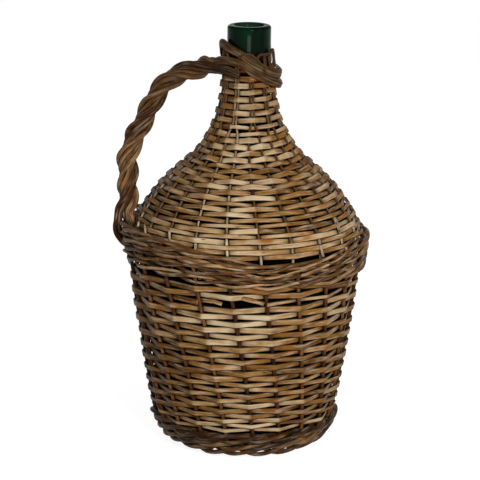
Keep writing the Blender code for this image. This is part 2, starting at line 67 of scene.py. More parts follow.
# Glass
GLASS_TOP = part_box("glass_bottle")[1].z
GLASS_SEAT = 9.5 * MM
GLASS_WALL = 3.5 * MM
NECK_RADIUS = 21.3 * MM
COLLAR_RADIUS = 23.6 * MM
COLLAR_HEIGHT = GLASS_TOP - 38 * MM
LIP_RADIUS = 22.6 * MM
BORE_RADIUS = 14.4 * MM
LIP_ROUND = 2.6 * MM
MOUTH_ROUND = 2 * MM
PUNT_RISE = 8 * MM
GLASS_SIDES = 96

# The bottle from its heel to its neck: radius and height in mm
GLASS_SLOPE = [(66.0, 9.5), (75.0, 11.5), (80.5, 17.8), (86.2, 35.2), (99.9, 120.7), (111.2, 200.0),
               (113.6, 226.0), (104.6, 246.0), (82.4, 274.5), (49.5, 304.9), (30.1, 337.2), (21.3, 372.0)]

# How much fuller the glass is at each height behind the weave, so that no light passes there, in mm
FULL_HEIGHTS = (20, 35, 180, 198, 250, 265, 355, 370)
FULLER = (0, 3.0, 3.0, 0, 0, 1.8, 1.8, 0)

# Lower basket: its stakes lean by LOWER_LEAN per metre of height, from their angles at LEAN_HEIGHT
LOWER_STAKES = 21
LOWER_STAKE_ANGLE = radians(201.1)
LOWER_LEAN = radians(84)
LEAN_HEIGHT = 98 * MM
LOWER_STAND = 7.7 * MM
LOWER_STAKE_RADIUS = 1.85 * MM
LOWER_STAKE_START = 4 * MM
LOWER_STAKE_TOP = 216 * MM
LOWER_STAKE_STEPS = 40
LOWER_STRIP_WIDTH = 6.15 * MM
LOWER_STRIP_THICKNESS = 1.8 * MM
LOWER_PITCHES = (5.3 * MM, 7.8 * MM)
LOWER_RISE = 0.25 * MM
WEAVE_FOOT = 33 * MM
WEAVE_RIM = 196 * MM
RIM_FLARE = 1.9 * MM
FLARE_START = 180 * MM
FLARE_END = 198 * MM

# Where one strip is broken, and the routes of its two loose ends, in mm
BREAK_PLACE = (-13.2, -115.3, 177.8)
BROKEN_ENDS = (
    ((-46.5, -103.5, 175.2), (-40.4, -108.7, 176.2), (-31.3, -113.3, 176.5), (-24.2, -115.5, 174.6)),
    ((-14.2, -113.6, 183.6), (-9.2, -116.1, 182.3), (0.9, -118.0, 180.3), (10.9, -118.0, 177.9),
     (18.0, -115.6, 175.2)),
)

# How far the lower basket bulges towards the handle at each height, in mm
BULGE_HEIGHTS = (20, 30, 115, 140)
HANDLE_BULGES = (0, 2.4, 2.4, 3.6)

# The turned-in foot of the lower basket: radius and height in mm
FOOT_WALL = [(69.0, 4.9), (77.0, 5.2), (83.8, 9.6), (89.2, 18.0), (93.0, 29.0)]

# Cover: its stakes lean by COVER_LEAN per metre along the wall
COVER_PAIRS = 11
COVER_STAKES = 2 * COVER_PAIRS
COVER_PAIR_ANGLE = radians(252.6)
COVER_LEAN = radians(46)
COVER_STAND = 5.2 * MM
COVER_STAKE_RADIUS = 1.1 * MM
COVER_STRIP_WIDTH = 6.0 * MM
COVER_STRIP_THICKNESS = 1.7 * MM
COVER_PITCHES = (5.1 * MM, 7.6 * MM)
NECK_PITCH = 7.2 * MM
NECK_STRIP_SHARE = 0.96
COVER_RISE = 0.15 * MM
COVER_START = 219.5 * MM
THROAT_HEIGHT = 332 * MM
COVER_TOP = 394.5 * MM
PAIRING_LENGTH = 12 * MM
PAIR_SPACING = 2.8 * MM
COVER_STAKE_FOOT = 196 * MM
COVER_STAKE_STEPS = 44

# From TUCK_START down the cover's stakes tuck in towards the glass, and are thicker
TUCK = 3 * MM
TUCK_START = COVER_START + 20 * MM
TUCK_END = COVER_START - 7 * MM
TUCKED_SIZE = 1.3

# How a pair of stakes folds over at the top: height in mm, and the share of the way across
PAIR_FOLD = ((5, 0.0), (9, 0.15), (10.5, 0.5), (9, 0.85), (5, 1.0))

# How much a strip strays at a crossing, in and out and along the wall, and where between two
# crossings it is at its plain width
STRIP_SWAY = 0.12 * MM
STRIP_DRIFT = 0.22 * MM
RUN_SHARE = 0.36

# Curled ends of the cover's stakes over the handle's wraps, as places in mm
CURLS = (
    ((-12, -25, 404), (-10.3, -26.6, 409.3), (-7.2, -27.6, 412.5), (-3.7, -28.3, 414.0),
     (0.9, -28.5, 413.7), (5.0, -28.6, 411.3), (9.1, -28.5, 407.5), (13.2, -28.2, 402.5), (17, -28, 397)),
    ((6.0, -27.8, 404), (9.0, -27.0, 410.6), (11.5, -26.1, 413.4), (15.1, -24.2, 413.2),
     (19.2, -19.6, 413.0), (22.3, -15.6, 414.6), (23.9, -12.5, 416.7), (24.9, -10.9, 412.4),
     (25.4, -9.9, 407.0), (26.6, -10.0, 400)),
    ((-26.0, -8, 399), (-26.0, -9, 408), (-24.5, -11, 415), (-22, -14, 411), (-21, -15, 400)),
    ((15.2, -24.0, 411.5), (15.7, -24.3, 407), (17.4, -24.2, 396)),
    ((20.4, -20.0, 411.0), (21.0, -20.0, 406), (22.8, -19.5, 396)),
)
CURL_SIZE = 1.5

# Stake ends pushed in over the cover: top and foot as direction in degrees and height in mm, then
# thickness
PEGS = (
    ((206.9, 239.4), (210.9, 232.5), 1.0),
    ((227.9, 240.9), (229.8, 233.2), 1.1),
    ((244.7, 232.6), (244.7, 215.4), 1.1),
    ((307.8, 230.9), (309.2, 219.8), 1.3),
    ((323.9, 251.4), (323.5, 240.2), 1.45),
    ((325.8, 223.2), (328.4, 211.8), 1.2),
)
PEG_STAND = 3.4 * MM

# The side where a highlight is painted on the strips, the cosine of how far it reaches, and how much paler
# the painted highlight makes a strip: less just above the rim, up to a set height
HIGHLIGHT_SIDE = Vector((cos(radians(264)), sin(radians(264)), 0.0))
HIGHLIGHT_REACH = 0.90
HIGHLIGHT_STRENGTH = 0.6
RIM_HIGHLIGHT_STRENGTH = 0.2
RIM_HIGHLIGHT_TOP = 250 * MM

# How much the strips' tones vary, and how much less they do towards the handle, which keeps strips there
# darker as painted shade
TONE_RANGE = 0.85
HANDLE_SIDE_SHADE = 0.5

# Waling of the foot and the rim. The rim's rows are lifted towards the handle, and spread on the
# other side. Rods that are lifted by LIFT_GROWTH are twice as thick
WALE_STEP = 3
WALE_DRIFT = 0.5 * MM
WALE_SWAY = 0.25 * MM
WALE_CURVE_STEPS = 5
FOOT_ROD_RADIUS = 2.35 * MM
FOOT_MIDDLE = 10.5 * MM
FOOT_PITCH = 8.1 * MM
FOOT_ROUNDS = 3
FOOT_WAVE = 3.1 * MM
RIM_ROD_RADIUS = 1.65 * MM
RIM_MIDDLE = 195.5 * MM
RIM_PITCH = 6.3 * MM
RIM_ROUNDS = 4
RIM_WAVE = 3.3 * MM
RIM_LIFTS = (7 * MM, 11 * MM, 14.5 * MM, 18 * MM)
RIM_SPREADS = (-1.0 * MM, 1.0 * MM, 4.0 * MM, 7.0 * MM)
FOOT_LIFT = 5.5 * MM
LIFT_GROWTH = 65 * MM

# The height over which the lower stakes take on the rim's lift, from FLARE_START
LIFT_SPAN = 30 * MM

# Base
BASE_SPOKES = 12
BASE_ROUNDS = 5
BASE_MIDDLE = 4.75 * MM
BASE_EDGE = 69.0 * MM
SLATH_RADIUS = 30 * MM
SLATH_HALF = 16.5 * MM
STICK_WIDTH = 5.0 * MM
STICK_THICKNESS = 3.5 * MM

# Ring that ties the cover's stakes
RING_ROD_RADIUS = 1.5 * MM
RING_STAND = 1.9 * MM
RING_RISE = 1.8 * MM
RING_STEPS = 48

# Handle: how far its middle is from the axis, and how high, in mm
HANDLE_ROUTE = [(126.5, 243), (124.5, 260), (124.8, 280), (124.8, 298), (118.6, 317.5), (107.6, 341.0),
                (99.5, 358.0), (91.3, 371.5), (82.0, 382.0), (69.5, 389.0), (54.5, 393.3), (44.0, 397.0)]
HANDLE_PITCH = 86 * MM
HANDLE_PHASE = radians(10)
STRAND_SPREAD = 6.2 * MM
HANDLE_ROD_RADIUS = 2.55 * MM
HANDLE_ROD_SPACING = 3.7 * MM
HANDLE_STRANDS = 3
HANDLE_STEPS = 24
HANDLE_SWAY = 0.5 * MM

# Distances from the axis where the strands start to flatten on the neck, and where they are flat,
# and how much thinner their rods are there
FLATTEN_START = 48 * MM
FLATTEN_END = 34 * MM
NECK_SQUEEZE = 0.28

# Each rod's place in its strand, away and across: in the twist, and flattened on the neck
HANDLE_RODS = (((0.8, -0.1), (0.15, 0.0)), ((-0.25, -0.9), (-0.1, -1.0)), ((-0.2, 0.95), (-0.1, 1.0)))

# Ends of the handle's three strands: first at the rim, as distance, side and height, in mm
HANDLE_ROOTS = (
    ((122, -14, 211), (130, -6, 214), (135.0, -2.5, 223), (134.0, -2.5, 234)),
    ((116.5, -9, 225), (120.5, -7, 236)),
    ((117, 9, 225), (120.5, 7.5, 236)),
)

# Then at the neck, as direction in degrees, distance from the axis and height, in mm
HANDLE_ENDS = (
    ((196, 35.5, 396.0), (212, 32.5, 396.5), (232, 31.2, 395.5), (252, 29.8, 392.5)),
    ((164, 35.0, 391.5), (148, 32.0, 389.5), (130, 31.5, 388.0), (100, 31.0, 387.0)),
    ((187, 35.5, 402.0), (205, 32.5, 405.0), (237, 31.6, 406.0), (261, 31.4, 402.1), (277, 31.4, 396.0),
     (298, 31.6, 389.7), (321, 32.4, 384.1), (345, 33.2, 380.5), (368, 33.0, 379.8), (392, 32.0, 382.0),
     (415, 31.5, 387.0), (440, 30.0, 393.0), (465, 29.0, 398.5), (490, 28.5, 403.0), (515, 28.0, 407.0),
     (533, 28.6, 413.0), (546, 29.0, 420.5), (559, 28.6, 422.0), (575, 27.8, 419.5), (591, 27.4, 417.0),
     (611, 27.8, 413.5), (634, 29.0, 406.2), (658, 30.4, 399.5), (677, 31.6, 394.2), (700, 32.8, 391.5),
     (720, 32.6, 391.2), (742, 31.6, 393.5)),
)

# Nodes of the solids that one piece here stands for
FOOT_ROD_NODES = 6
RIM_ROD_NODES = 6
BASE_STICK_NODES = 6


def share_between(value, low, high):
    """How far a value is from low to high, kept within 0 and 1."""
    return min(max((value - low) / (high - low), 0.0), 1.0)


def outward(direction):
    """The normal of a rising (radius, height) line that points away from the axis."""
    return Vector((direction.y, -direction.x))


def turned(place, angle):
    """A (radius, height) place turned round the Z axis."""
    return Vector((place.x * cos(angle), place.x * sin(angle), place.y))


def smooth_line(points, steps):
    """Points along one smooth curve through the given ones."""
    points = [Vector(point) for point in points]
    line = [points[0]]
    for index in range(len(points) - 1):
        start, end = points[index], points[index + 1]
        before = points[max(index - 1, 0)]
        after = points[min(index + 2, len(points) - 1)]
        reach = (end - start).length / 3
        leave = start + (end - before).normalized() * reach
        arrive = end - (after - start).normalized() * reach
        line += interpolate_bezier(start, leave, arrive, end, steps + 1)[1:]
    return line


class Wall:
    """A rising line in the (radius, height) plane that willow is laid along."""

    def __init__(self, places):
        self.places = places
        self.lengths = [0.0]
        for start, end in zip(places, places[1:]):
            self.lengths.append(self.lengths[-1] + (end - start).length)
        runs = [(end - start).normalized() for start, end in zip(places, places[1:])]
        runs = [runs[0]] + runs + [runs[-1]]
        self.normals = [outward((low + high).normalized()) for low, high in zip(runs, runs[1:])]

    def at(self, length):
        """The place at a length along the wall, and the wall's outward normal there."""
        index = int(np.searchsorted(self.lengths, length)) - 1
        index = min(max(index, 0), len(self.places) - 2)
        share = (length - self.lengths[index]) / (self.lengths[index + 1] - self.lengths[index])
        normal = self.normals[index].lerp(self.normals[index + 1], min(max(share, 0.0), 1.0))
        return self.places[index].lerp(self.places[index + 1], share), normal.normalized()

    def length_at(self, height):
        return float(np.interp(height, [place.y for place in self.places], self.lengths))

    def moved(self, stand):
        """The wall that stands a distance outside this one; stand may depend on the height."""
        return Wall([place + normal * stand(place.y) for place, normal in zip(self.places, self.normals)])


def glass_wall():
    slope = smooth_line([(radius * MM, height * MM) for radius, height in GLASS_SLOPE], 10)
    return Wall(slope + [Vector((NECK_RADIUS, COLLAR_HEIGHT - 4 * MM))])


def rim_flare(height):
    """The lower basket's stand from the glass, wider where it holds the cover's stakes."""
    return LOWER_STAND + RIM_FLARE * share_between(height, FLARE_START, FLARE_END)


def lower_wall():
    """The line that the lower basket's stakes stand on, turned in under the foot."""
    foot = [Vector(place) * MM for place in FOOT_WALL]
    rest = [place for place in GLASS.moved(rim_flare).places if place.y > foot[-1].y + 5 * MM]
    return Wall(smooth_line(foot + rest[:1], 5) + rest[1:])


def lower_turned(place, angle):
    """A place of the lower basket turned round the axis; the basket bulges towards the handle."""
    bulge = float(np.interp(place.y / MM, BULGE_HEIGHTS, HANDLE_BULGES)) * MM
    bulge *= max(-cos(angle), 0.0) ** 2
    return turned(place + Vector((bulge, 0.0)), angle)


GLASS = glass_wall()
LOWER = lower_wall()
COVER = GLASS.moved(lambda height: COVER_STAND)


# Strands: rods and strips that follow points

class Strand:
    """One rod or strip: its points, and what changes from point to point."""

    def __init__(self, tone, start=0.0):
        self.tone = tone
        self.start = start
        self.points, self.tilts, self.scales, self.marks, self.shows = [], [], [], [], []

    # A show under 0.8 has the willow paint shade on that point, as where a strand passes inside
    def add(self, point, tilt=0.0, scale=1.0, mark=0.5, show=1.0):
        self.points.append(point)
        self.tilts.append(tilt)
        self.scales.append(scale)
        self.marks.append(mark)
        self.shows.append(show)


def flat_section(width, thickness, count=12):
    """A split strip's section: +X is its outer face, and its edges are a little rounded."""
    corners = []
    for step in range(count):
        angle = -2 * pi * (step + 0.5) / count
        across = abs(sin(angle)) ** 0.5 * (1 if sin(angle) > 0 else -1)
        through = abs(cos(angle)) ** 0.3 * (1 if cos(angle) > 0 else -0.75)
        corners.append((thickness / 2 * through, width / 2 * across))
    return corners


def round_section(radius, count=8):
    return [(radius * cos(-2 * pi * step / count), radius * sin(-2 * pi * step / count))
            for step in range(count)]


def poly_spline(curve, points, closed):
    spline = curve.splines.new("POLY")
    spline.points.add(len(points) - 1)
    spline.points.foreach_set("co", [number for point in points for number in (*point, 1.0)])
    spline.use_cyclic_u = closed
    return spline


def sweep(name, strands, corners, finish, twist="Z_UP"):
    """One mesh of many strands, each with the same section and closed at its ends."""
    guide_curve = bpy.data.curves.new(name + "_section", "CURVE")
    poly_spline(guide_curve, [(x, y, 0.0) for x, y in corners], True)
    guide = bpy.data.objects.new(name + "_section", guide_curve)
    curve = bpy.data.curves.new(name, "CURVE")
    curve.dimensions = "3D"
    curve.twist_mode = twist
    curve.bevel_mode = "OBJECT"
    curve.bevel_object = guide
    for strand in strands:
        spline = poly_spline(curve, strand.points, False)
        spline.points.foreach_set("tilt", strand.tilts)
        spline.points.foreach_set("radius", strand.scales)
    swept = bpy.data.objects.new(name, curve)
    for item in (guide, swept):
        bpy.context.scene.collection.objects.link(item)
    graph = bpy.context.evaluated_depsgraph_get()
    mesh = bpy.data.meshes.new_from_object(swept.evaluated_get(graph))
    for item in (guide, swept):
        bpy.data.objects.remove(item)
    write_strand_values(mesh, strands, corners)
    shape = bmesh.new()
    shape.from_mesh(mesh)
    bmesh.ops.holes_fill(shape, edges=[edge for edge in shape.edges if edge.is_boundary])
    shape.to_mesh(mesh)
    shape.free()
    mesh.shade_smooth()
    mesh.materials.clear()
    mesh.materials.append(finish)
    item = bpy.data.objects.new(name, mesh)
    bpy.context.scene.collection.objects.link(item)
    return item


def write_strand_values(mesh, strands, corners):
    """Gives each vertex its place in the wood's grain, and its strand's tones."""
    grain, tones = [], []
    for strand in strands:
        along = strand.start
        for index, point in enumerate(strand.points):
            if index:
                along += (point - strand.points[index - 1]).length
            for x, y in corners:
                grain += (along, y, x)
                tones += (strand.tone, strand.marks[index], strand.shows[index], 1.0)
    mesh.attributes.new("grain", "FLOAT_VECTOR", "POINT").data.foreach_set("vector", grain)
    mesh.attributes.new("tones", "FLOAT_COLOR", "POINT").data.foreach_set("color", tones)


# Materials

class Nodes:
    """Short calls for a material's node tree."""

    def __init__(self, name):
        self.material = bpy.data.materials.new(name)
        self.material.use_nodes = True
        self.tree = self.material.node_tree
        self.shader = self.tree.nodes["Principled BSDF"]

    def link(self, source, target):
        self.tree.links.new(source, target)

    def put(self, socket, value):
        if isinstance(value, bpy.types.NodeSocket):
            self.link(value, socket)
        elif isinstance(value, tuple) and len(value) == 3 and socket.type == "RGBA":
            socket.default_value = (*value, 1.0)
        else:
            socket.default_value = value

    def attribute(self, name):
        node = self.tree.nodes.new("ShaderNodeAttribute")
        node.attribute_name = name
        return node

    def object_place(self):
        return self.tree.nodes.new("ShaderNodeTexCoord").outputs["Object"]

    def scaled(self, vector, scale):
        node = self.tree.nodes.new("ShaderNodeMapping")
        self.link(vector, node.inputs["Vector"])
        node.inputs["Scale"].default_value = scale
        return node.outputs["Vector"]

    def split(self, vector):
        node = self.tree.nodes.new("ShaderNodeSeparateXYZ")
        self.link(vector, node.inputs[0])
        return node.outputs

    def noise(self, vector, scale, detail=2.0, roughness=0.5):
        node = self.tree.nodes.new("ShaderNodeTexNoise")
        self.link(vector, node.inputs["Vector"])
        node.inputs["Scale"].default_value = scale
        node.inputs["Detail"].default_value = detail
        node.inputs["Roughness"].default_value = roughness
        return node.outputs["Fac"]

    def cells(self, vector, scale):
        node = self.tree.nodes.new("ShaderNodeTexVoronoi")
        self.link(vector, node.inputs["Vector"])
        node.inputs["Scale"].default_value = scale
        return node.outputs["Distance"]

    def math(self, operation, first, second=0.5, third=0.5):
        node = self.tree.nodes.new("ShaderNodeMath")
        node.operation = operation
        for socket, value in zip(node.inputs, (first, second, third)):
            self.put(socket, value)
        return node.outputs[0]

    def span(self, value, low, high, to_low=0.0, to_high=1.0):
        """The value moved from one range to another, and kept within it."""
        node = self.tree.nodes.new("ShaderNodeMapRange")
        for socket, number in zip(node.inputs, (value, low, high, to_low, to_high)):
            self.put(socket, number)
        return node.outputs["Result"]

    def mix(self, share, first, second, blend="MIX"):
        node = self.tree.nodes.new("ShaderNodeMix")
        node.data_type = "RGBA"
        node.blend_type = blend
        self.put(node.inputs["Factor"], share)
        colours = [socket for socket in node.inputs if socket.type == "RGBA"]
        self.put(colours[0], first)
        self.put(colours[1], second)
        return next(socket for socket in node.outputs if socket.type == "RGBA")

    def bump(self, height, distance, strength=1.0):
        node = self.tree.nodes.new("ShaderNodeBump")
        node.inputs["Distance"].default_value = distance
        node.inputs["Strength"].default_value = strength
        self.link(height, node.inputs["Height"])
        return node.outputs["Normal"]


# Painted shade in the gaps of the weave and where strands pass inside, the wood's knots, and the colour of
# painted glints
GAP_SHADE = (0.004, 0.002, 0.001)
KNOT = (0.020, 0.010, 0.006)
GLINT_COLOUR = (0.60, 0.50, 0.36)


def willow(name, dark, middle, pale, stain, edge=0.0, glint=0.0, neck_shade=0.0):
    """Varnished willow: streaks along the grain, stains, knots, and painted shade where strands pass inside.

    The edge is where a strip's face ends, and beyond it painted shade darkens the gaps. The glint is how
    much painted highlight shows, and the last argument how much painted shade darkens it up to the neck.
    """
    nodes = Nodes(name)
    grain = nodes.attribute("grain").outputs["Vector"]
    tones = nodes.split(nodes.attribute("tones").outputs["Color"])
    streaks = nodes.noise(nodes.scaled(grain, (45, 900, 900)), 1.0, 3.0, 0.6)
    clouds = nodes.noise(nodes.scaled(grain, (55, 120, 120)), 1.0, 2.0)
    level = nodes.math("MULTIPLY_ADD", tones[0], 0.50, nodes.math("MULTIPLY", tones[1], 0.40))
    level = nodes.math("MULTIPLY_ADD", nodes.span(clouds, 0.3, 0.7), 0.28, level)
    level = nodes.math("MULTIPLY_ADD", nodes.span(streaks, 0.3, 0.7), 0.30, level)
    colour = nodes.mix(nodes.span(level, 0.35, 0.74), dark, middle)
    colour = nodes.mix(nodes.span(level, 0.74, 1.16), colour, pale)
    patches = nodes.noise(nodes.scaled(grain, (28, 70, 70)), 1.0, 2.0)
    colour = nodes.mix(nodes.span(patches, 0.53, 0.68, 0.0, 0.75), colour, stain)
    # Painted highlights: pale streaks along the grain
    if glint:
        glint_spots = nodes.noise(nodes.scaled(grain, (60, 520, 520)), 1.0, 3.0)
        colour = nodes.mix(nodes.span(glint_spots, 0.52, 0.74, 0.0, glint), colour, GLINT_COLOUR)
    spots = nodes.cells(nodes.scaled(grain, (42, 170, 170)), 1.0)
    colour = nodes.mix(nodes.span(spots, 0.05, 0.13, 0.85, 0.0), colour, KNOT)
    # Painted shade along a strip's edges, darkening the gaps between strips
    if edge:
        across = nodes.math("ABSOLUTE", nodes.split(grain)[1])
        across = nodes.math("MULTIPLY_ADD", clouds, 0.8 * MM, across)
        colour = nodes.mix(nodes.span(across, edge, edge + 0.5 * MM, 0.0, 0.96), colour, GAP_SHADE)
    # Painted shade: the wood is darker up to the neck, which is lit less
    if neck_shade:
        height = nodes.split(nodes.object_place())[2]
        colour = nodes.mix(nodes.span(height, 300 * MM, 385 * MM, 0.0, neck_shade), colour, dark)
    # Painted shade where a strand passes inside, behind a stake or a neighbour
    colour = nodes.mix(nodes.span(tones[2], 0.0, 0.8, 0.95, 0.0), colour, GAP_SHADE)
    nodes.link(colour, nodes.shader.inputs["Base Color"])
    nodes.link(nodes.span(streaks, 0.3, 0.7, 0.50, 0.34), nodes.shader.inputs["Roughness"])
    nodes.shader.inputs["Specular IOR Level"].default_value = 0.05
    nodes.link(nodes.bump(streaks, 0.45 * MM), nodes.shader.inputs["Normal"])
    return nodes.material


def bottle_glass():
    """Dark green glass: greener at the mouth, near black below it as painted shade under the willow,
    a lighter green bore as painted light through the glass, and dull with dust under the willow.
    """
    nodes = Nodes("bottle_glass")
    place = nodes.object_place()
    x, y, height = nodes.split(place)
    radius = nodes.math("SQRT", nodes.math("MULTIPLY_ADD", x, x, nodes.math("MULTIPLY", y, y)))
    ripple = nodes.noise(nodes.scaled(place, (14, 14, 5)), 1.0, 1.0)
    thin = nodes.noise(nodes.scaled(place, (75, 75, 14)), 1.0, 2.0)
    # Painted shade: below the mouth the glass is near black, where the willow covers it
    depth = nodes.span(height, GLASS_TOP - 40 * MM, GLASS_TOP - 8 * MM, 0.0, 1.0)
    green = nodes.mix(nodes.span(thin, 0.42, 0.66), (0.0008, 0.0035, 0.0018), (0.0010, 0.0150, 0.0048))
    colour = nodes.mix(depth, (0.0008, 0.0016, 0.0012), green)
    # Painted light: the bore is lighter green, as if lit through the glass
    bore = nodes.span(radius, BORE_RADIUS + 1 * MM, BORE_RADIUS + 3 * MM, 1.0, 0.0)
    colour = nodes.mix(bore, colour, (0.008, 0.026, 0.016))
    nodes.link(colour, nodes.shader.inputs["Base Color"])
    nodes.link(nodes.bump(ripple, 6 * MM, 0.25), nodes.shader.inputs["Normal"])
    bare = nodes.span(height, GLASS_TOP - 60 * MM, GLASS_TOP - 45 * MM)
    nodes.link(nodes.math("MULTIPLY_ADD", bare, -0.73, 0.80), nodes.shader.inputs["Roughness"])
    gloss = nodes.span(height, GLASS_TOP - 3.5 * MM, GLASS_TOP - 1.5 * MM, 0.045, 0.005)
    gloss = nodes.math("MULTIPLY", gloss, nodes.math("MULTIPLY_ADD", bore, -0.9, 1.0))
    nodes.link(nodes.math("MULTIPLY", bare, gloss), nodes.shader.inputs["Specular IOR Level"])
    return nodes.material


SPLIT = willow("split_willow", (0.070, 0.028, 0.006), (0.222, 0.108, 0.027), (0.490, 0.370, 0.220),
               (0.215, 0.072, 0.010), edge=2.55 * MM, glint=0.45, neck_shade=0.42)
STAKE = willow("stake_rod", (0.020, 0.007, 0.002), (0.066, 0.024, 0.006), (0.150, 0.066, 0.020),
               (0.080, 0.022, 0.004))
SKEIN = willow("cover_skein", (0.040, 0.018, 0.006), (0.130, 0.070, 0.026), (0.460, 0.360, 0.230),
               (0.110, 0.042, 0.010), neck_shade=0.6)
FOOT = willow("foot_rod", (0.009, 0.004, 0.001), (0.038, 0.016, 0.005), (0.190, 0.100, 0.035),
              (0.080, 0.026, 0.005), glint=0.25)
RIM = willow("rim_rod", (0.018, 0.007, 0.002), (0.115, 0.051, 0.015), (0.500, 0.320, 0.160),
             (0.150, 0.048, 0.008), glint=0.4)
HANDLE = willow("handle_rod", (0.008, 0.003, 0.001), (0.050, 0.018, 0.004), (0.360, 0.200, 0.075),
                (0.100, 0.028, 0.004), glint=0.35, neck_shade=0.55)
GLASSY = bottle_glass()


# Bottle

def make_bottle():
    """The whole bottle turned from one outline: outer face, lip, bore and inner face."""
    outer = GLASS.moved(lambda height: float(np.interp(height / MM, FULL_HEIGHTS, FULLER)) * MM)
    lip = GLASS_TOP - LIP_ROUND
    finish = [(NECK_RADIUS, COLLAR_HEIGHT - 3 * MM), (COLLAR_RADIUS - 0.5 * MM, COLLAR_HEIGHT - 0.5 * MM),
              (COLLAR_RADIUS, COLLAR_HEIGHT + 1.5 * MM), (COLLAR_RADIUS, COLLAR_HEIGHT + 8 * MM),
              (COLLAR_RADIUS - 0.6 * MM, COLLAR_HEIGHT + 12 * MM), (LIP_RADIUS, COLLAR_HEIGHT + 20 * MM),
              (LIP_RADIUS, lip)]
    mouth = [(LIP_RADIUS - LIP_ROUND + LIP_ROUND * cos(angle), lip + LIP_ROUND * sin(angle))
             for angle in (pi / 6, pi / 3, pi / 2)]
    mouth += [(BORE_RADIUS + MOUTH_ROUND * (1 - cos(angle)), GLASS_TOP - MOUTH_ROUND * (1 - sin(angle)))
              for angle in (pi / 2, pi / 4, 0.0)]
    inner = [place for place in GLASS.moved(lambda height: -GLASS_WALL).places[::-4]
             if GLASS_SEAT + 2 * GLASS_WALL < place.y < COLLAR_HEIGHT - 10 * MM]
    bore = [(BORE_RADIUS, COLLAR_HEIGHT), (NECK_RADIUS - GLASS_WALL, COLLAR_HEIGHT - 8 * MM)]
    floor = [(64 * MM, GLASS_SEAT + GLASS_WALL), (0.0, GLASS_SEAT + PUNT_RISE + GLASS_WALL)]
    punt = [(0.0, GLASS_SEAT + PUNT_RISE), (50 * MM, GLASS_SEAT)]
    outline = punt + [tuple(place) for place in outer.places[:-1:2]] + finish + mouth + bore
    outline += [tuple(place) for place in inner] + floor
    shape = bmesh.new()
    corners = [shape.verts.new((radius, 0.0, height)) for radius, height in outline]
    edges = [shape.edges.new(pair) for pair in zip(corners, corners[1:])]
    bmesh.ops.spin(shape, geom=corners + edges, cent=(0, 0, 0), axis=(0, 0, 1), angle=2 * pi,
                   steps=GLASS_SIDES, use_merge=True)
    bmesh.ops.remove_doubles(shape, verts=shape.verts, dist=1e-6)
    bmesh.ops.recalc_face_normals(shape, faces=shape.faces)
    mesh = bpy.data.meshes.new("glass")
    shape.to_mesh(mesh)
    shape.free()
    mesh.shade_smooth()
    mesh.materials.append(GLASSY)
    bottle = bpy.data.objects.new("glass", mesh)
    bpy.context.scene.collection.objects.link(bottle)
    return bottle


# Weaving

def lower_angle(index, height):
    return LOWER_STAKE_ANGLE + 2 * pi * index / LOWER_STAKES - LOWER_LEAN * (height - LEAN_HEIGHT)


def cover_angle(index, length):
    """Even spacing on the shoulder, and two by two on the neck."""
    throat = COVER.length_at(THROAT_HEIGHT)
    even = pi / COVER_STAKES
    close = PAIR_SPACING / 2 / COVER.at(length)[0].x
    share = share_between(length, throat, throat + PAIRING_LENGTH)
    half = even + (close - even) * share
    middle = COVER_PAIR_ANGLE + 2 * pi * (index // 2) / COVER_PAIRS
    lean = COVER_LEAN * (length - COVER.length_at(COVER_START))
    return middle - lean + (half if index % 2 else -half)


def on_wall(wall, length, side, angle):
    """A place off a wall along its normal, turned round the axis, and the wall's tilt there."""
    place, normal = wall.at(length)
    turn = lower_turned if wall is LOWER else turned
    return turn(place + normal * side, angle), atan2(-normal.y, normal.x)


